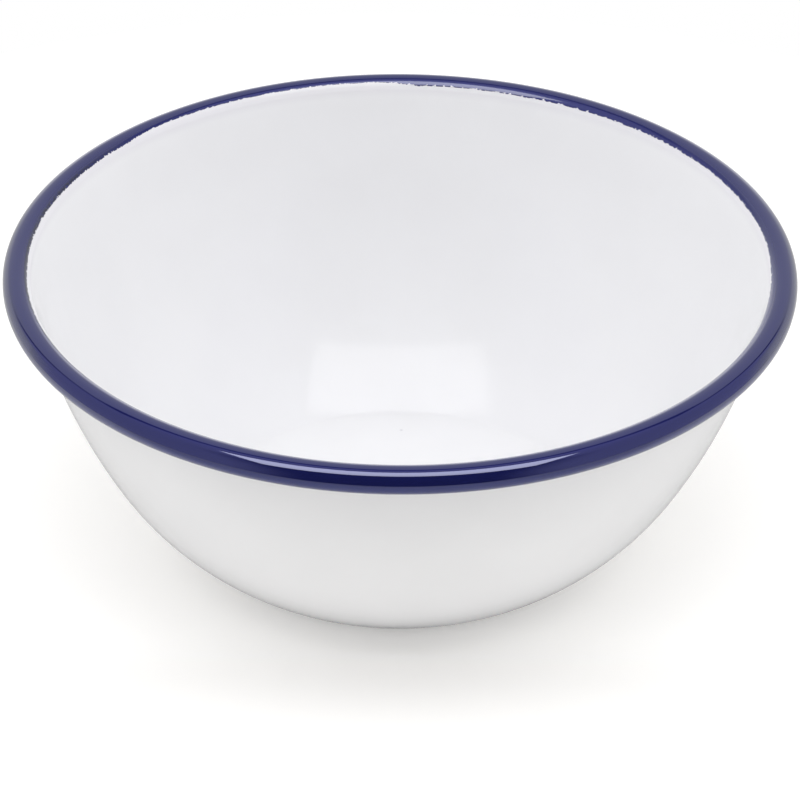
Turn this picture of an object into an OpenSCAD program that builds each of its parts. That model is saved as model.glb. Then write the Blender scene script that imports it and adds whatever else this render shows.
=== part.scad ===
// Enamelled basin bowl: a pressed steel bowl with a rolled bead, under fired enamel coats.
// The origin is the middle of the standing face, with +Z up the bowl's axis. Lengths are in millimetres.

/* [Bowl] */
// Diameter over the rim bead
rim_d = 180; // [150:1:240]
// Height from the standing face to the crown of the bead
height = 70.4; // [55:0.1:100]
// Diameter of the flat standing face
base_d = 87.5; // [70:0.5:110]
// Radius of the corner between base and wall, on the inside
corner_r = 2.5; // [1:0.1:6]
// Slope of the wall where it leaves the corner, from level
heel_angle = 34; // [20:0.5:40]
// Lean of the straight flare under the bead, from upright
flare_angle = 16; // [8:0.5:22]
// Length of the straight flare
flare_len = 12; // [4:0.5:20]

/* [Rim] */
// Thickness of the rolled bead over its enamel
bead_d = 6.4; // [5:0.1:8]
// Slit between the sheet's rolled edge and the wall
curl_gap = 0.3; // [0.1:0.05:0.6]
// Where the rim band starts on the inside, in degrees past the bead's crown
band_start = 50; // [20:1:60]

/* [Layers] */
// Steel sheet
steel_t = 0.7; // [0.5:0.05:0.9]
// Ground coat on each side of the sheet
ground_t = 0.1; // [0.06:0.01:0.2]
// White lining
lining_t = 0.2; // [0.15:0.01:0.4]
// White jacket
jacket_t = 0.2; // [0.15:0.01:0.4]
// Blue rim band
band_t = 0.2; // [0.15:0.01:0.4]

/* [Hidden] */
turn_fn = 180;

// Number of chords in each arc of the outline
corner_steps = 3;
belly_steps = 8;
wall_steps = 5;
shoulder_steps = 4;
roll_steps = 20;

// Depths are measured from the sheet's inside face, outwards through the sheet.
ground_in = -ground_t;
lining_face = ground_in - lining_t;
ground_out = steel_t + ground_t;
jacket_face = ground_out + jacket_t;

// The bead: its centre, and the radii of the rolled sheet and of the coats on it
bead_c = [rim_d/2 - bead_d/2, height - bead_d/2];
band_r = bead_d/2;
ground_r = band_r - band_t;
curl_r = ground_r - ground_t;
wall_a = 180 - flare_angle;
band_a = 90 + band_start;

// Ends of the roll, where it comes round to the wall under the bead
curl_end = roll_end(steel_t + curl_gap, curl_r);
slit_end = roll_end(steel_t, curl_r);
ground_end = roll_end(ground_out, ground_r);
band_end = roll_end(jacket_face, band_r);

// The wall, on the sheet's inside face: corner arc, belly arc, wall arc and straight flare. Belly and wall
// arcs join the corner to the flare smoothly, with tangents of equal length.
base_z = jacket_face;
sheet_corner_r = corner_r - lining_face;
corner_c = [base_d/2, base_z + sheet_corner_r];
heel_dir = [cos(heel_angle), sin(heel_angle)];
flare_dir = [sin(flare_angle), cos(flare_angle)];
heel_p = polar(corner_c, sheet_corner_r, heel_angle - 90);
flare_p = polar(bead_c, curl_r, wall_a) - flare_len*flare_dir;
span = flare_p - heel_p;
bend = 1 - heel_dir*flare_dir;
reach = span*(heel_dir + flare_dir);
tangent = (sqrt(reach*reach + 2*bend*(span*span)) - reach)/(2*bend);
joint_dir = span - tangent*(heel_dir + flare_dir);
joint_angle = atan2(joint_dir.y, joint_dir.x);
belly_r = tangent/tan((joint_angle - heel_angle)/2);
wall_r = tangent/tan((90 - flare_angle - joint_angle)/2);
belly_c = polar(heel_p, belly_r, heel_angle + 90);
wall_c = polar(flare_p, wall_r, wall_a);

function polar(c, r, a) = c + r*[cos(a), sin(a)];

function arc(c, r, a0, a1, steps, first = 0) =
    [for (i = [first:steps]) polar(c, r, a0 + (a1 - a0)*i/steps)];

function reversed(points) = [for (i = [len(points) - 1:-1:0]) points[i]];

// Angle at which a circle round the bead meets the wall's face at the given depth, under the bead
function roll_end(depth, r) = wall_a + acos((curl_r - depth)/r) - 360;

// The bowl's outline at the given depth, from the axis to the top of the wall arc
function wall(depth) = concat(
    [[0, base_z - depth]],
    arc(corner_c, sheet_corner_r + depth, -90, heel_angle - 90, corner_steps),
    arc(belly_c, belly_r + depth, heel_angle - 90, joint_angle - 90, belly_steps, 1),
    arc(wall_c, wall_r + depth, joint_angle - 90, -flare_angle, wall_steps, 1));

// The bead's inner shoulder, from the flare to the start of the band
function shoulder(r) = arc(bead_c, r, wall_a, band_a, shoulder_steps);

// The rest of the bead: crown, outside and underside
function roll(r, end, first = 0) = arc(bead_c, r, band_a, end, roll_steps, first);

function bead(r, end) = concat(shoulder(r), roll(r, end, 1));

module turned(outline) {
    rotate_extrude($fn = turn_fn) polygon(outline);
}

module steel_bowl() {
    color("dimgray")
        turned(concat(
            wall(0), bead(curl_r, curl_end),
            reversed(bead(curl_r - steel_t, curl_end)), reversed(wall(steel_t))));
}

// Covers the sheet all over and bridges the slit under the bead
module ground_coat() {
    color("black") difference() {
        turned(concat(wall(ground_in), bead(ground_r, ground_end), reversed(wall(ground_out))));
        turned(concat(
            wall(0), bead(curl_r, curl_end), [polar(bead_c, curl_r, slit_end)], reversed(wall(steel_t))));
    }
}

module white_lining() {
    color("white")
        turned(concat(
            wall(lining_face), shoulder(ground_r + lining_t),
            reversed(shoulder(ground_r)), reversed(wall(ground_in))));
}

module white_jacket() {
    color("whitesmoke")
        turned(concat(
            wall(jacket_face), [polar(bead_c, band_r, band_end)],
            [polar(bead_c, ground_r, ground_end)], reversed(wall(ground_out))));
}

module rim_band() {
    color("midnightblue")
        turned(concat(roll(band_r, band_end), reversed(roll(ground_r, ground_end))));
}

steel_bowl();
ground_coat();
white_lining();
white_jacket();
rim_band();
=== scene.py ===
import math

import bpy
from mathutils import Matrix, Vector


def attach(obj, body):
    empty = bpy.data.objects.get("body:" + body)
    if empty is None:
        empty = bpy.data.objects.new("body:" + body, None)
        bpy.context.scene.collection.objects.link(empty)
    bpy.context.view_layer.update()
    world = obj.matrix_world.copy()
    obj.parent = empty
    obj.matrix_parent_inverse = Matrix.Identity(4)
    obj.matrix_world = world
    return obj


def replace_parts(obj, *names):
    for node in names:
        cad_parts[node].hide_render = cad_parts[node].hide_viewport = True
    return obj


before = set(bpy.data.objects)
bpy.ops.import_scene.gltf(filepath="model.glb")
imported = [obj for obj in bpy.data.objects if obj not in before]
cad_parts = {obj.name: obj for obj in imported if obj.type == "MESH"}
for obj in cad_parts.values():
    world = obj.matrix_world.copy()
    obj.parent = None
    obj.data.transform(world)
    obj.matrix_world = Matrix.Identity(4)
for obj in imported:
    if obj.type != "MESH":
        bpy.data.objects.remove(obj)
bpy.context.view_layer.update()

mm = 0.001
sameSpot = 0.001*mm   # points closer than this are merged

# the bowl's outline, as in the part's source
bowl = {
    "rimDiameter": 180*mm,
    "height": 70.4*mm,
    "baseDiameter": 87.5*mm,
    "cornerRadius": 2.5*mm,
    "heelAngle": 34,
    "flareAngle": 16,
    "flareLength": 12*mm,
    "beadDiameter": 6.4*mm,
    "bandStart": 50,
    "steel": 0.7*mm,
    "ground": 0.1*mm,
    "white": 0.2*mm,
    "band": 0.2*mm,
}


def toLinear(hexColour):
    shades = [int(hexColour[i:i + 2], 16)/255 for i in (1, 3, 5)]
    return [s/12.92 if s <= 0.04045 else ((s + 0.055)/1.055)**2.4 for s in shades] + [1]


def addNode(tree, kind, inputs=None, **settings):
    node = tree.nodes.new("ShaderNode" + kind)
    for name, value in settings.items():
        setattr(node, name, value)
    for name, value in (inputs or {}).items():
        if isinstance(value, bpy.types.NodeSocket):
            tree.links.new(value, node.inputs[name])
        else:
            node.inputs[name].default_value = value
    return node


def newMaterial(name):
    material = bpy.data.materials.new(name)
    material.use_nodes = True
    material.node_tree.nodes.clear()
    return material, material.node_tree


def dress(piece, material):
    piece.data.materials.clear()
    piece.data.materials.append(material)


# outline points are (radius, height) pairs
def polar(centre, radius, degrees):
    a = math.radians(degrees)
    return Vector((centre[0] + radius*math.cos(a), centre[1] + radius*math.sin(a)))


def arcPoints(centre, radius, start, end, count):
    return [polar(centre, radius, start + (end - start)*i/count) for i in range(count + 1)]


beadCentre = Vector((
    (bowl["rimDiameter"] - bowl["beadDiameter"])/2, bowl["height"] - bowl["beadDiameter"]/2))
bandRadius = bowl["beadDiameter"]/2
curlRadius = bandRadius - bowl["band"] - bowl["ground"]
wallAngle = 180 - bowl["flareAngle"]
bandAngle = 90 + bowl["bandStart"]
liningDepth = -bowl["ground"] - bowl["white"]
jacketDepth = bowl["steel"] + bowl["ground"] + bowl["white"]


# corner, belly and wall arcs up to the straight flare, at a depth through the sheet
def wallPoints(depth, cornerCount=6, bellyCount=18, wallCount=12, flareCount=4):
    heel, flare = bowl["heelAngle"], bowl["flareAngle"]
    sheetCorner = bowl["cornerRadius"] - liningDepth
    cornerCentre = Vector((bowl["baseDiameter"]/2, jacketDepth + sheetCorner))
    heelWay = polar((0, 0), 1, heel)
    flareWay = polar((0, 0), 1, 90 - flare)
    heelPoint = polar(cornerCentre, sheetCorner, heel - 90)
    flareTop = polar(beadCentre, curlRadius, wallAngle)
    flarePoint = flareTop - bowl["flareLength"]*flareWay
    span = flarePoint - heelPoint
    bend = 1 - heelWay.dot(flareWay)
    reach = span.dot(heelWay + flareWay)
    tangent = (math.sqrt(reach**2 + 2*bend*span.dot(span)) - reach)/(2*bend)
    jointWay = span - tangent*(heelWay + flareWay)
    joint = math.degrees(math.atan2(jointWay.y, jointWay.x))
    bellyRadius = tangent/math.tan(math.radians((joint - heel)/2))
    wallRadius = tangent/math.tan(math.radians((90 - flare - joint)/2))
    bellyCentre = polar(heelPoint, bellyRadius, heel + 90)
    wallCentre = polar(flarePoint, wallRadius, wallAngle)
    points = arcPoints(cornerCentre, sheetCorner + depth, -90, heel - 90, cornerCount)
    points += arcPoints(bellyCentre, bellyRadius + depth, heel - 90, joint - 90, bellyCount)[1:]
    points += arcPoints(wallCentre, wallRadius + depth, joint - 90, -flare, wallCount)[1:]
    low, high = points[-1], polar(beadCentre, curlRadius - depth, wallAngle)
    return points + [low.lerp(high, i/flareCount) for i in range(1, flareCount + 1)]


# a disc or ring pulled up ring by ring, as on a spinning lathe
def turnRings(name, rings, steps, filled):
    bpy.ops.object.select_all(action="DESELECT")
    radius, level = rings[0]
    bpy.ops.mesh.primitive_circle_add(
        vertices=steps, radius=radius, fill_type="TRIFAN" if filled else "NOTHING", location=(0, 0, level))
    piece = bpy.context.object
    piece.name = piece.data.name = name
    bpy.ops.object.mode_set(mode="EDIT")
    bpy.ops.mesh.select_mode(type="EDGE")
    bpy.ops.mesh.select_all(action="SELECT")
    if filled:
        bpy.ops.mesh.region_to_loop()
    for nextRadius, nextLevel in rings[1:]:
        bpy.ops.mesh.extrude_edges_move(TRANSFORM_OT_translate={"value": (0, 0, nextLevel - level)})
        grow = nextRadius/radius
        bpy.ops.transform.resize(value=(grow, grow, 1), center_override=(0, 0, nextLevel))
        radius, level = nextRadius, nextLevel
    bpy.ops.mesh.select_all(action="SELECT")
    bpy.ops.mesh.remove_doubles(threshold=sameSpot)
    bpy.ops.mesh.normals_make_consistent(inside=False)
    bpy.ops.object.mode_set(mode="OBJECT")
    bpy.ops.object.transform_apply(location=True, rotation=True, scale=True)
    bpy.ops.object.shade_smooth()
    return piece


# turns the sheet's faces so that the chosen one looks along the given way
def faceWay(piece, pick, way):
    face = min(piece.data.polygons, key=pick)
    if face.normal.dot(way) < 0:
        bpy.ops.object.mode_set(mode="EDIT")
        bpy.ops.mesh.select_all(action="SELECT")
        bpy.ops.mesh.flip_normals()
        bpy.ops.object.mode_set(mode="OBJECT")


def applyModifiers(piece):
    bpy.context.view_layer.objects.active = piece
    for modifier in list(piece.modifiers):
        bpy.ops.object.modifier_apply(modifier=modifier.name)


def thicken(piece, thickness):
    wall = piece.modifiers.new("thickness", "SOLIDIFY")
    wall.thickness = thickness
    wall.offset = -1
    wall.use_even_offset = True
    applyModifiers(piece)


up, down = Vector((0, 0, 1)), Vector((0, 0, -1))


# which face to judge a sheet by
def nearAxis(face):
    return face.center.xy.length


def highest(face):
    return -face.center.z


print("outline ready")


# noise for the modifiers that shake a coat out of its perfect round
def cloud(name, size, depth):
    texture = bpy.data.textures.new(name, "CLOUDS")
    texture.noise_scale = size
    texture.noise_depth = depth
    return texture


def displace(piece, name, texture, strength, direction, group):
    shift = piece.modifiers.new(name, "DISPLACE")
    shift.texture = texture
    shift.texture_coords = "LOCAL"
    shift.strength = strength
    shift.mid_level = 0.5
    shift.direction = direction
    shift.vertex_group = group


def wrap(piece, name, target, offset, group):
    lay = piece.modifiers.new(name, "SHRINKWRAP")
    lay.target = target
    lay.wrap_method = "NEAREST_SURFACEPOINT"
    lay.wrap_mode = "ABOVE_SURFACE"
    lay.offset = offset
    lay.vertex_group = group


def paintGroup(piece, name, weightAt):
    group = piece.vertex_groups.new(name=name)
    for vertex in piece.data.vertices:
        weight = weightAt(vertex.co)
        if weight > 0:
            group.add([vertex.index], weight, "REPLACE")


def beadTurn(place):
    return math.degrees(math.atan2(place.z - beadCentre.y, place.xy.length - beadCentre.x)) % 360


def eased(value, low, high):
    t = min(1, max(0, (value - low)/(high - low)))
    return t*t*(3 - 2*t)


# the pressed wall is never quite true: a slow swell of a few hundredths, fading out at base and bead
swell = {"size": 22*mm, "height": 0.07*mm, "foot": 3*mm, "top": 60*mm, "clear": 8*mm}


def onWall(place):
    low = eased(place.z, swell["foot"], swell["foot"] + swell["clear"])
    return low*(1 - eased(place.z, swell["top"] - swell["clear"], swell["top"]))


# radii of the rings in the flat base
baseRings = [r*mm for r in (4, 12, 20, 28, 35, 40, 42.5)]

# white lining: from the middle of the base up over the shoulder and on under the band
lining = {
    "steps": 256,
    "underBand": 0.06*mm,   # how far the shoulder sits under the band's face
    "sinkOver": 10,         # degrees of the shoulder over which it sinks that far
    "shoulderRows": 20,
    "shoulderEnd": 92,      # runs on under the band to here
    "thickness": 0.15*mm,
}

liningFloor = jacketDepth - liningDepth
rings = [(r, liningFloor) for r in baseRings] + [tuple(p) for p in wallPoints(liningDepth)]
for i in range(1, lining["shoulderRows"] + 1):
    turn = wallAngle + (lining["shoulderEnd"] - wallAngle)*i/lining["shoulderRows"]
    sink = lining["underBand"]*eased(wallAngle - turn, 0, lining["sinkOver"])
    rings.append(tuple(polar(beadCentre, bandRadius - sink, turn)))
liningCoat = turnRings("liningCoat", rings, lining["steps"], True)
faceWay(liningCoat, nearAxis, up)
paintGroup(liningCoat, "wall", onWall)
displace(liningCoat, "swell", cloud("liningSwell", swell["size"], 1), swell["height"], "NORMAL", "wall")
applyModifiers(liningCoat)
print("lining", len(liningCoat.data.polygons))

# white jacket: the standing face and the outside, up to the band's lower edge
jacket = {
    "steps": 256,
    "underBand": 0.05*mm,
    "thickness": 0.15*mm,
}

rings = [(r, 0) for r in baseRings] + [tuple(p) for p in wallPoints(jacketDepth)]
bandEnd = wallAngle + math.degrees(math.acos((curlRadius - jacketDepth)/bandRadius)) - 360
bandFoot = polar(beadCentre, bandRadius - jacket["underBand"], bandEnd)
rings = [p for p in rings if p[1] < bandFoot.y] + [tuple(bandFoot)]
jacketCoat = turnRings("jacketCoat", rings, jacket["steps"], True)
faceWay(jacketCoat, nearAxis, down)
paintGroup(jacketCoat, "wall", onWall)
displace(jacketCoat, "swell", cloud("jacketSwell", swell["size"], 1), swell["height"], "NORMAL", "wall")
thicken(jacketCoat, jacket["thickness"])
print("jacket", len(jacketCoat.data.polygons))

# the band is brushed on over the white, so its inner edge wanders, frays and changes width where the brush
# was set down again
band = {
    "steps": 720,
    "edgeRows": [0, 1.5, 3.5, 6, 9, 13, 18, 24, 30],   # degrees in from the edge
    "rollRows": 34,
    "lip": -0.02*mm,       # the edge dips into the white
    "lipWidth": 0.5,       # degrees
    # stretches of the edge, in degrees round from +X: start, end, run-in at each end, and how far down
    "strokes": [(-50, 90, 6, 0.36*mm), (-50, 0, 20, 0.8*mm), (91, 137, 7, -0.92*mm),
                (187, 310, 14, -0.42*mm), (245, 292, 14, -0.65*mm)],
    "most": 1.2*mm,        # the deepest that strokes may add up to
    "wander": 0.3*mm,
    "wanderSize": 24*mm,
    "fray": 0.4*mm,
    "fraySize": 2.5*mm,
    "thickness": 0.15*mm,
    "edgeThickness": 0.25,   # share of the thickness left at the edge
}

rows = [bandAngle - a for a in band["edgeRows"]]
rows += [rows[-1] + (bandEnd - rows[-1])*i/band["rollRows"] for i in range(1, band["rollRows"] + 1)]
rings = [tuple(polar(beadCentre, bandRadius, a)) for a in rows]
bandCoat = turnRings("bandCoat", rings, band["steps"], False)
faceWay(bandCoat, highest, up)
lapDegrees = band["edgeRows"][-1]
lapEnd = lapDegrees - band["lipWidth"]


def fromEdge(place):
    turn = beadTurn(place)
    return bandAngle - turn if turn < 180 else 360   # the bead's underside is far from the edge


def edgeWeight(place):
    return 1 - eased(fromEdge(place), 0, lapDegrees)


def strokeDrop(place):
    around = (math.degrees(math.atan2(place.y, place.x)) + 90) % 360 - 90
    drop = 0
    for start, end, ease, depth in band["strokes"]:
        come = eased(around, start - ease/2, start + ease/2)
        drop += depth*come*(1 - eased(around, end - ease/2, end + ease/2))
    return edgeWeight(place)*drop/band["most"]


# millimetres in from the inner edge, for the paint
depthIn = bandCoat.data.attributes.new("edgeDepth", "FLOAT", "POINT")
for vertex in bandCoat.data.vertices:
    depthIn.data[vertex.index].value = math.radians(fromEdge(vertex.co))*bandRadius/mm
paintGroup(bandCoat, "edge", edgeWeight)
paintGroup(bandCoat, "dropped", strokeDrop)
paintGroup(bandCoat, "raised", lambda place: -strokeDrop(place))
paintGroup(bandCoat, "lap", lambda place: 1 if band["lipWidth"] < fromEdge(place) < lapEnd else 0)
paintGroup(bandCoat, "lip", lambda place: 1 if fromEdge(place) < band["lipWidth"] else 0)
# with no texture a displace shifts by half its strength
displace(bandCoat, "drop", None, -2*band["most"], "Z", "dropped")
displace(bandCoat, "raise", None, 2*band["most"], "Z", "raised")
displace(bandCoat, "wander", cloud("edgeWander", band["wanderSize"], 1), band["wander"], "Z", "edge")
displace(bandCoat, "fray", cloud("edgeFray", band["fraySize"], 2), band["fray"], "Z", "edge")
wrap(bandCoat, "layOn", liningCoat, lining["underBand"], "lap")
wrap(bandCoat, "dip", liningCoat, band["lip"], "lip")
applyModifiers(bandCoat)
wall = bandCoat.modifiers.new("thickness", "SOLIDIFY")
wall.thickness = band["thickness"]
wall.offset = -1
wall.vertex_group = "edge"
wall.invert_vertex_group = True
wall.thickness_vertex_group = band["edgeThickness"]
applyModifiers(bandCoat)
thicken(liningCoat, lining["thickness"])
print("band", len(bandCoat.data.polygons))

for piece, node in ((liningCoat, "white_lining"), (jacketCoat, "white_jacket"), (bandCoat, "rim_band")):
    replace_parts(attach(piece, "root"), node)

# white vitreous enamel: fired glass, cool white and glossy over a faint orange peel, with slow changes of
# tone, and a greyer tone over the shoulder that is painted shade, holding back the light the shoulder
# catches
white = {
    "peel": 4*mm, "peelHeight": 0.004*mm,
    # spans are the values of the noise between which a tone or a gloss changes over
    "toneSize": 28*mm, "toneSpan": (0.35, 0.65), "glossSize": 9*mm, "glossSpan": (0.3, 0.7),
    "gloss": (0.08, 0.14), "ior": 1.5, "specular": 0.26,
    # the jacket's tones are the lining's white painted a shade darker: painted shade on the bowl's outside
    "lining": ("#EBEBED", "#E9E9EB"), "jacket": ("#E6E6E7", "#E4E4E5"),
    # painted shade: a greyer tone over the shoulder, which catches more light from the softbox than the wall
    "thin": "#E3E2E6", "shoulderShadeSpan": (beadCentre.y - 1*mm, beadCentre.y + 1.5*mm),
    # a pinhole in the lining, and the scars of three firing points under the base
    "pinhole": [((0.5*mm, 37*mm, liningFloor), 0.5*mm, "#D6D6DA")],
    "scars": [((*polar((0, 0), 36*mm, a), 0), 0.8*mm, "#4A4A50") for a in (90, 210, 330)],
    "spotCore": 0.3,   # share of a spot's radius that has its full shade
}


def whiteEnamel(name, tones, spots):
    material, tree = newMaterial(name)
    place = addNode(tree, "TexCoord").outputs["Object"]
    drift = addNode(tree, "TexNoise", {"Vector": place, "Scale": 1/white["toneSize"], "Detail": 2})
    tone = addNode(tree, "MapRange", {
        "Value": drift.outputs["Fac"], "From Min": white["toneSpan"][0], "From Max": white["toneSpan"][1]})
    colour = addNode(tree, "Mix", {
        0: tone.outputs[0], 6: toLinear(tones[0]), 7: toLinear(tones[1])}, data_type="RGBA").outputs[2]
    # painted shade over the shoulder: the colour is mixed towards the greyer tone there
    level = addNode(tree, "SeparateXYZ", {0: place})
    shoulder = addNode(tree, "MapRange", {
        "Value": level.outputs["Z"], "From Min": white["shoulderShadeSpan"][0], "From Max": white["shoulderShadeSpan"][1]},
        interpolation_type="SMOOTHSTEP")
    colour = addNode(tree, "Mix", {
        0: shoulder.outputs[0], 6: colour, 7: toLinear(white["thin"])}, data_type="RGBA").outputs[2]
    for centre, radius, shade in spots:
        away = addNode(tree, "VectorMath", {0: place, 1: centre}, operation="DISTANCE")
        near = addNode(tree, "MapRange", {
            "Value": away.outputs["Value"], "From Min": radius*white["spotCore"], "From Max": radius,
            "To Min": 1, "To Max": 0})
        colour = addNode(tree, "Mix", {
            0: near.outputs[0], 6: colour, 7: toLinear(shade)}, data_type="RGBA").outputs[2]
    patch = addNode(tree, "TexNoise", {"Vector": place, "Scale": 1/white["glossSize"], "Detail": 1})
    gloss = addNode(tree, "MapRange", {
        "Value": patch.outputs["Fac"], "From Min": white["glossSpan"][0], "From Max": white["glossSpan"][1],
        "To Min": white["gloss"][0], "To Max": white["gloss"][1]})
    peel = addNode(tree, "TexNoise", {"Vector": place, "Scale": 1/white["peel"], "Detail": 1})
    bump = addNode(tree, "Bump", {
        "Height": peel.outputs["Fac"], "Strength": 1, "Distance": white["peelHeight"]})
    shader = addNode(tree, "BsdfPrincipled", {
        "Base Color": colour, "Roughness": gloss.outputs[0], "IOR": white["ior"],
        "Specular IOR Level": white["specular"], "Normal": bump.outputs["Normal"]})
    addNode(tree, "OutputMaterial", {"Surface": shader.outputs["BSDF"]})
    return material


liningEnamel = whiteEnamel("whiteEnamelLining", white["lining"], white["pinhole"])
# the jacket's white carries painted shade: it is the lining's enamel, darker
jacketEnamel = whiteEnamel("whiteEnamelJacket", white["jacket"], white["scars"])

# cobalt blue vitreous enamel: navy glass with a hard gloss, darker where it gathers on the bead's outside,
# a brighter blue on the bead's underside, dull and broken along the brushed edge, black-specked at its left
blue = {
    "crown": "#161A58", "outside": "#12164A", "under": "#181F62", "edge": "#0C0D1C", "bare": "#EBEAED",
    "sheen": "#ABB4FB",   # light thrown back from under the glass comes out blue
    # degrees up round the bead from its outermost line: where the glass is darkest, how far from there it
    # fades, and where the underside's tone starts and is full
    "gathered": 22, "gatherSpan": (20, 50), "underSpan": (8, -6),
    # the white shows where the grain and the millimetres in from the edge add up to less than this
    "frayGrain": 0.7*mm, "frayDepth": 1.3, "coverAt": (0.7, 0.8),
    # black specks: their grain and clusters, how far in from the edge in millimetres, and on which side
    "darkGrain": 0.8*mm, "darkSize": 30*mm, "darkDepth": (0.6, 1.2), "darkHeap": (0.8, 0.92),
    "darkSide": (-62*mm, -76*mm),
    "peel": 3*mm, "peelHeight": 0.006*mm, "pits": 12,   # the specks stand this much rougher than the peel
    # dull along the edge to this many millimetres in, glossy from there on
    "brushed": 0.34, "brushedDepth": (1, 1.8), "roughness": 0.06, "coatRoughness": 0.04, "ior": 1.8,
}

blueEnamel, tree = newMaterial("cobaltVitreousEnamel")
place = addNode(tree, "TexCoord").outputs["Object"]
axes = addNode(tree, "SeparateXYZ", {0: place})
flat = addNode(tree, "CombineXYZ", {"X": axes.outputs["X"], "Y": axes.outputs["Y"]})
reach = addNode(tree, "VectorMath", {0: flat.outputs[0]}, operation="LENGTH")
across = addNode(tree, "Math", {0: reach.outputs["Value"], 1: beadCentre.x}, operation="SUBTRACT")
above = addNode(tree, "Math", {0: axes.outputs["Z"], 1: beadCentre.y}, operation="SUBTRACT")
turn = addNode(tree, "Math", {0: above.outputs[0], 1: across.outputs[0]}, operation="ARCTAN2")
lean = addNode(tree, "Math", {0: turn.outputs[0], 1: math.radians(blue["gathered"])}, operation="SUBTRACT")
off = addNode(tree, "Math", {0: lean.outputs[0]}, operation="ABSOLUTE")
thin = addNode(tree, "MapRange", {
    "Value": off.outputs[0], "From Min": math.radians(blue["gatherSpan"][0]),
    "From Max": math.radians(blue["gatherSpan"][1])}, interpolation_type="SMOOTHSTEP")
topside = addNode(tree, "Mix", {
    0: thin.outputs[0], 6: toLinear(blue["outside"]), 7: toLinear(blue["crown"])}, data_type="RGBA")
beneath = addNode(tree, "MapRange", {
    "Value": turn.outputs[0], "From Min": math.radians(blue["underSpan"][0]),
    "From Max": math.radians(blue["underSpan"][1])}, interpolation_type="SMOOTHSTEP")
body = addNode(tree, "Mix", {
    0: beneath.outputs[0], 6: topside.outputs[2], 7: toLinear(blue["under"])}, data_type="RGBA")
edge = addNode(tree, "Attribute", attribute_name="edgeDepth")
spread = addNode(tree, "TexNoise", {"Vector": place, "Scale": 1/blue["darkSize"], "Detail": 1})
speck = addNode(tree, "TexNoise", {"Vector": place, "Scale": 1/blue["darkGrain"], "Detail": 2})
heap = addNode(tree, "Math", {0: spread.outputs["Fac"], 1: speck.outputs["Fac"]}, operation="ADD")
near = addNode(tree, "MapRange", {
    "Value": edge.outputs["Fac"], "From Min": blue["darkDepth"][0], "From Max": blue["darkDepth"][1],
    "To Min": 1, "To Max": 0})
thick = addNode(tree, "MapRange", {
    "Value": heap.outputs[0], "From Min": blue["darkHeap"][0], "From Max": blue["darkHeap"][1]})
left = addNode(tree, "MapRange", {
    "Value": axes.outputs["X"], "From Min": blue["darkSide"][0], "From Max": blue["darkSide"][1]})
heaped = addNode(tree, "Math", {0: near.outputs[0], 1: thick.outputs[0]}, operation="MULTIPLY")
dark = addNode(tree, "Math", {0: heaped.outputs[0], 1: left.outputs[0]}, operation="MULTIPLY")
rimmed = addNode(tree, "Mix", {
    0: dark.outputs[0], 6: body.outputs[2], 7: toLinear(blue["edge"])}, data_type="RGBA")
grain = addNode(tree, "TexNoise", {"Vector": place, "Scale": 1/blue["frayGrain"], "Detail": 1})
ragged = addNode(tree, "Math", {
    0: grain.outputs["Fac"], 1: blue["frayDepth"], 2: edge.outputs["Fac"]}, operation="MULTIPLY_ADD")
cover = addNode(tree, "MapRange", {
    "Value": ragged.outputs[0], "From Min": blue["coverAt"][0], "From Max": blue["coverAt"][1]})
colour = addNode(tree, "Mix", {
    0: cover.outputs[0], 6: toLinear(blue["bare"]), 7: rimmed.outputs[2]}, data_type="RGBA")
peel = addNode(tree, "TexNoise", {"Vector": place, "Scale": 1/blue["peel"], "Detail": 1})
pitted = addNode(tree, "Math", {0: speck.outputs["Fac"], 1: dark.outputs[0]}, operation="MULTIPLY")
height = addNode(tree, "Math", {
    0: pitted.outputs[0], 1: blue["pits"], 2: peel.outputs["Fac"]}, operation="MULTIPLY_ADD")
bump = addNode(tree, "Bump", {"Height": height.outputs[0], "Strength": 1, "Distance": blue["peelHeight"]})
brushed = addNode(tree, "MapRange", {
    "Value": edge.outputs["Fac"], "From Min": blue["brushedDepth"][0], "From Max": blue["brushedDepth"][1],
    "To Min": blue["brushed"], "To Max": blue["roughness"]})
shader = addNode(tree, "BsdfPrincipled", {
    "Base Color": colour.outputs[2], "Roughness": brushed.outputs[0], "IOR": blue["ior"],
    "Normal": bump.outputs["Normal"], "Specular Tint": toLinear(blue["sheen"]), "Coat Weight": 1,
    "Coat Roughness": blue["coatRoughness"], "Coat IOR": blue["ior"], "Coat Normal": bump.outputs["Normal"]})
addNode(tree, "OutputMaterial", {"Surface": shader.outputs["BSDF"]})

# ground enamel: blue-black cobalt glass that bonds to the sheet, mottled, duller than the cover coats and
# pricked by gas bubbles (bubbles drawn coarser than the real 0.2 mm)
ground = {
    "deep": "#14151D", "pale": "#232637", "mottle": 6*mm, "gloss": (0.3, 0.45), "ior": 1.52,
    "bubble": 0.8*mm, "bubbleWall": (0.05, 0.25), "pit": 0.02*mm,
}

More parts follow.
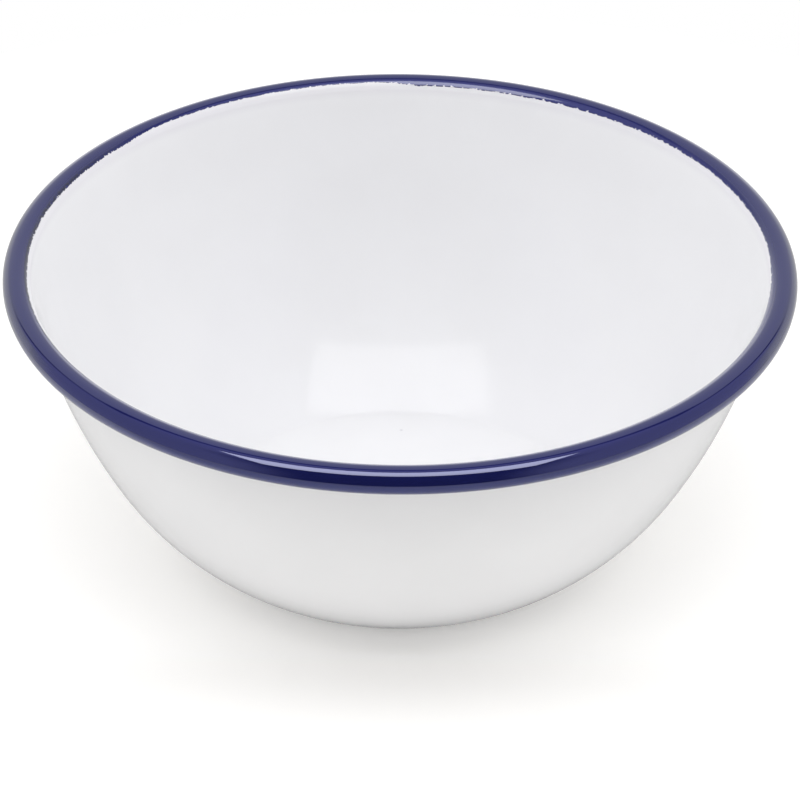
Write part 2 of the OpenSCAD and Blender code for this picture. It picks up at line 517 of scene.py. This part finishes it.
groundEnamel, tree = newMaterial("groundVitreousEnamel")
place = addNode(tree, "TexCoord").outputs["Object"]
mottle = addNode(tree, "TexNoise", {"Vector": place, "Scale": 1/ground["mottle"], "Detail": 3})
colour = addNode(tree, "Mix", {
    0: mottle.outputs["Fac"], 6: toLinear(ground["deep"]), 7: toLinear(ground["pale"])}, data_type="RGBA")
gloss = addNode(tree, "MapRange", {
    "Value": mottle.outputs["Fac"], "To Min": ground["gloss"][0], "To Max": ground["gloss"][1]})
bubble = addNode(tree, "TexVoronoi", {"Vector": place, "Scale": 1/ground["bubble"]})
pit = addNode(tree, "MapRange", {
    "Value": bubble.outputs["Distance"],
    "From Min": ground["bubbleWall"][0], "From Max": ground["bubbleWall"][1]})
bump = addNode(tree, "Bump", {"Height": pit.outputs[0], "Strength": 1, "Distance": ground["pit"]})
shader = addNode(tree, "BsdfPrincipled", {
    "Base Color": colour.outputs[2], "Roughness": gloss.outputs[0], "IOR": ground["ior"],
    "Normal": bump.outputs["Normal"]})
addNode(tree, "OutputMaterial", {"Surface": shader.outputs["BSDF"]})

# pickled sheet steel: dull grey from the acid bath, clouded, with the mill's roll lines along the sheet
# (lines drawn coarser than the real 0.05 mm)
steel = {
    "pale": "#97969A", "dull": "#7D7B79", "fade": (0.12, 0.4), "cloud": 14*mm, "gloss": (0.42, 0.6),
    "line": 0.5*mm, "run": 40, "score": 0.004*mm,   # each line runs this many times its width
}

sheetSteel, tree = newMaterial("pickledSheetSteel")
place = addNode(tree, "TexCoord").outputs["Object"]
clouding = addNode(tree, "TexNoise", {"Vector": place, "Scale": 1/steel["cloud"], "Detail": 3})
along = addNode(tree, "Mapping", {"Vector": place, "Scale": (1/steel["run"], 1, 1)})
lines = addNode(tree, "TexNoise", {"Vector": along.outputs[0], "Scale": 1/steel["line"], "Detail": 2})
mixed = addNode(tree, "Math", {0: clouding.outputs["Fac"], 1: lines.outputs["Fac"]}, operation="MULTIPLY")
fade = addNode(tree, "MapRange", {
    "Value": mixed.outputs[0], "From Min": steel["fade"][0], "From Max": steel["fade"][1]})
colour = addNode(tree, "Mix", {
    0: fade.outputs[0], 6: toLinear(steel["dull"]), 7: toLinear(steel["pale"])}, data_type="RGBA")
gloss = addNode(tree, "MapRange", {
    "Value": clouding.outputs["Fac"], "To Min": steel["gloss"][0], "To Max": steel["gloss"][1]})
bump = addNode(tree, "Bump", {"Height": lines.outputs["Fac"], "Strength": 1, "Distance": steel["score"]})
shader = addNode(tree, "BsdfPrincipled", {
    "Base Color": colour.outputs[2], "Metallic": 1, "Roughness": gloss.outputs[0],
    "Normal": bump.outputs["Normal"]})
addNode(tree, "OutputMaterial", {"Surface": shader.outputs["BSDF"]})

dress(liningCoat, liningEnamel)
dress(jacketCoat, jacketEnamel)
dress(bandCoat, blueEnamel)
dress(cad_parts["ground_coat"], groundEnamel)
dress(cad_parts["steel_bowl"], sheetSteel)
print("materials ready")

# a round of pale paper, with painted shade that makes it greyer in the enamel's reflections in front. It
# throws light up at the bowl, and its own glow to the camera ends in front of the bowl, which paints a
# darker shadow there
floor = {
    "radius": 250*mm, "sides": 128, "drop": 0.05*mm, "colour": "#FAF9F7", "fill": 0.232,
    "mirrored": ("#A2A2A2", "#BEBEBE"), "mirrorSpan": (-100*mm, -60*mm),
    "glow": 0.12, "glowEnd": (-45*mm, -69*mm),
}

bpy.ops.object.select_all(action="DESELECT")
bpy.ops.mesh.primitive_circle_add(
    vertices=floor["sides"], radius=floor["radius"], fill_type="NGON", location=(0, 0, -floor["drop"]))
studioFloor = bpy.context.object
studioFloor.name = "studioFloor"
floorPaint, tree = newMaterial("paleFloor")
light = addNode(tree, "LightPath")
axes = addNode(tree, "SeparateXYZ", {0: addNode(tree, "TexCoord").outputs["Object"]})
# painted shade in reflections: the paper seen in the enamel is grey, darker towards the front
rearward = addNode(tree, "MapRange", {
    "Value": axes.outputs["Y"], "From Min": floor["mirrorSpan"][0], "From Max": floor["mirrorSpan"][1]})
mirrored = addNode(tree, "Mix", {
    0: rearward.outputs[0], 6: toLinear(floor["mirrored"][0]),
    7: toLinear(floor["mirrored"][1])}, data_type="RGBA")
tone = addNode(tree, "Mix", {
    0: light.outputs["Is Glossy Ray"], 6: toLinear(floor["colour"]),
    7: mirrored.outputs[2]}, data_type="RGBA")
matt = addNode(tree, "BsdfDiffuse", {"Color": tone.outputs[2]})
fill = addNode(tree, "Math", {0: light.outputs["Is Diffuse Ray"], 1: floor["fill"]}, operation="MULTIPLY")
# painted shadow: the glow to the camera fades out in front of the bowl
paper = addNode(tree, "MapRange", {
    "Value": axes.outputs["Y"], "From Min": floor["glowEnd"][0], "From Max": floor["glowEnd"][1],
    "To Min": floor["glow"], "To Max": 0}, interpolation_type="SMOOTHSTEP")
lift = addNode(tree, "Math", {
    0: light.outputs["Is Camera Ray"], 1: paper.outputs[0], 2: fill.outputs[0]}, operation="MULTIPLY_ADD")
glow = addNode(tree, "Emission", {"Color": (1, 1, 1, 1), "Strength": lift.outputs[0]})
both = addNode(tree, "AddShader", {0: matt.outputs[0], 1: glow.outputs[0]})
addNode(tree, "OutputMaterial", {"Surface": both.outputs[0]})
studioFloor.data.materials.append(floorPaint)

# world: white to the camera. The room's own light comes from the back and sides more than from the front.
# Reflections show a white sheet behind, brighter near the floor, a dark gap along its edge, pale blue panels
# at the sides and the dark room in front. Places are parts of a unit direction: +X right, +Y back, +Z up
studio = {
    "front": 0.366, "back": 0.815, "frontEdge": -0.7, "backEdge": 0.3, "sides": 0.707,
    "sheet": 0.45, "panels": 0.46, "panelTint": "#D2D2FF", "room": 0.04,
    "horizon": (0.95, 0.58), "horizonWidth": (0.15, 0.4), "horizonBack": (0.3, 0.5), "horizonBleach": 2,
    "gapBack": 0.38, "gapTurn": 0.86, "gapSplay": 1.25, "gapCore": 0.035, "gapEdge": 0.11,
    "gapEnd": (0.46, 0.12), "darkFrom": -0.2, "darkTo": -0.5, "darkWidth": (0.4, 0.75),
}

world = bpy.data.worlds.new("studio")
bpy.context.scene.world = world
world.use_nodes = True
tree = world.node_tree
tree.nodes.clear()
light = addNode(tree, "LightPath")
way = addNode(tree, "SeparateXYZ", {0: addNode(tree, "TexCoord").outputs["Generated"]})
depth = addNode(tree, "MapRange", {
    "Value": way.outputs["Y"], "From Min": studio["frontEdge"], "From Max": studio["backEdge"],
    "To Min": studio["front"], "To Max": studio["back"]}, interpolation_type="SMOOTHSTEP")
aside = addNode(tree, "Math", {0: way.outputs["X"], 1: way.outputs["X"]}, operation="MULTIPLY")
spread = addNode(tree, "Math", {
    0: aside.outputs[0], 1: studio["sides"], 2: depth.outputs[0]}, operation="MULTIPLY_ADD")
ambient = addNode(tree, "Background", {"Color": (1, 1, 1, 1), "Strength": spread.outputs[0]})

side = addNode(tree, "Math", {0: way.outputs["X"]}, operation="ABSOLUTE")
outward = addNode(tree, "Math", {
    0: way.outputs["Z"], 1: -studio["gapTurn"], 2: side.outputs[0]}, operation="MULTIPLY_ADD")
splay = addNode(tree, "Math", {0: outward.outputs[0], 1: 0}, operation="MAXIMUM")
straight = addNode(tree, "Math", {
    0: way.outputs["Z"], 1: -studio["gapBack"], 2: way.outputs["Y"]}, operation="MULTIPLY_ADD")
hang = addNode(tree, "Math", {
    0: splay.outputs[0], 1: -studio["gapSplay"], 2: straight.outputs[0]}, operation="MULTIPLY_ADD")
sheet = addNode(tree, "MapRange", {
    "Value": hang.outputs[0], "From Min": studio["gapCore"], "From Max": studio["gapEdge"],
    "To Min": studio["room"], "To Max": studio["sheet"]}, interpolation_type="SMOOTHSTEP")
panels = addNode(tree, "MapRange", {
    "Value": hang.outputs[0], "From Min": -studio["gapEdge"], "From Max": -studio["gapCore"],
    "To Min": studio["panels"], "To Max": 0}, interpolation_type="SMOOTHSTEP")
ahead = addNode(tree, "MapRange", {
    "Value": way.outputs["Y"], "From Min": studio["darkTo"], "From Max": studio["darkFrom"]},
    interpolation_type="SMOOTHSTEP")
beside = addNode(tree, "MapRange", {
    "Value": side.outputs[0], "From Min": studio["darkWidth"][0], "From Max": studio["darkWidth"][1]},
    interpolation_type="SMOOTHSTEP")
clear = addNode(tree, "Math", {0: ahead.outputs[0], 1: beside.outputs[0]}, operation="MAXIMUM")
mirrored = addNode(tree, "Math", {
    0: panels.outputs[0], 1: clear.outputs[0], 2: sheet.outputs[0]}, operation="MULTIPLY_ADD")
horizon = addNode(tree, "MapRange", {
    "Value": side.outputs[0], "From Min": studio["horizonWidth"][0], "From Max": studio["horizonWidth"][1],
    "To Min": studio["horizon"][0], "To Max": studio["horizon"][1]}, interpolation_type="SMOOTHSTEP")
low = addNode(tree, "MapRange", {
    "Value": way.outputs["Z"], "From Min": studio["gapEnd"][0], "From Max": studio["gapEnd"][1],
    "To Min": 0, "To Max": horizon.outputs[0]}, interpolation_type="SMOOTHSTEP")
behind = addNode(tree, "MapRange", {
    "Value": way.outputs["Y"], "From Min": studio["horizonBack"][0], "From Max": studio["horizonBack"][1]})
lowBack = addNode(tree, "Math", {0: low.outputs[0], 1: behind.outputs[0]}, operation="MULTIPLY")
filled = addNode(tree, "Math", {0: mirrored.outputs[0], 1: lowBack.outputs[0]}, operation="MAXIMUM")
onSheet = addNode(tree, "MapRange", {
    "Value": hang.outputs[0], "From Min": -studio["gapCore"], "From Max": studio["gapCore"]})
neutral = addNode(tree, "Math", {
    0: lowBack.outputs[0], 1: studio["horizonBleach"], 2: onSheet.outputs[0]}, operation="MULTIPLY_ADD")
tint = addNode(tree, "Mix", {
    0: neutral.outputs[0], 6: toLinear(studio["panelTint"]), 7: (1, 1, 1, 1)}, data_type="RGBA")
mirror = addNode(tree, "Background", {"Color": tint.outputs[2], "Strength": filled.outputs[0]})
plain = addNode(tree, "Background", {"Color": (1, 1, 1, 1), "Strength": 1})
seen = addNode(tree, "Math", {
    0: light.outputs["Is Camera Ray"], 1: light.outputs["Is Transmission Ray"]}, operation="MAXIMUM")
lit = addNode(tree, "MixShader", {
    0: light.outputs["Is Glossy Ray"], 1: ambient.outputs[0], 2: mirror.outputs[0]})
shown = addNode(tree, "MixShader", {0: seen.outputs[0], 1: lit.outputs[0], 2: plain.outputs[0]})
addNode(tree, "OutputWorld", {"Surface": shown.outputs[0]})

# softbox over the bowl, towards the camera and tilted back at the bowl
softbox = {
    "width": 1830*mm, "depth": 893*mm, "height": 1622*mm, "forward": 540*mm,
    "tilt": 23.4, "power": 14.5,   # degrees and watts
}

bpy.ops.object.light_add(
    type="AREA", location=(0, -softbox["forward"], softbox["height"]),
    rotation=(math.radians(softbox["tilt"]), 0, 0))
lamp = bpy.context.object
lamp.name = "softbox"
lamp.data.shape = "RECTANGLE"
lamp.data.size = softbox["width"]
lamp.data.size_y = softbox["depth"]
lamp.data.energy = softbox["power"]
print("lights ready")

# long lens, from just over a metre away
view = {
    "distance": 1260*mm, "aside": 0.14*mm, "elevation": 30.74, "pitch": -32.06, "roll": 0.33,
    "focal": 5555, "picture": 800,   # pixels
    "sensor": 36,
}

target = Vector((view["aside"], 0, beadCentre.y))
lift = math.radians(view["elevation"])
bpy.ops.object.camera_add()
camera = bpy.context.object
camera.data.sensor_width = view["sensor"]
camera.data.lens = view["sensor"]*view["focal"]/view["picture"]
tip = Matrix.Rotation(math.radians(90 + view["pitch"]), 4, "X")
roll = Matrix.Rotation(math.radians(view["roll"]), 4, "Z")
stand = target + view["distance"]*Vector((0, -math.cos(lift), math.sin(lift)))
camera.matrix_world = Matrix.Translation(stand) @ tip @ roll
bpy.context.scene.camera = camera
bpy.context.scene.view_settings.view_transform = "Standard"
print("camera ready")
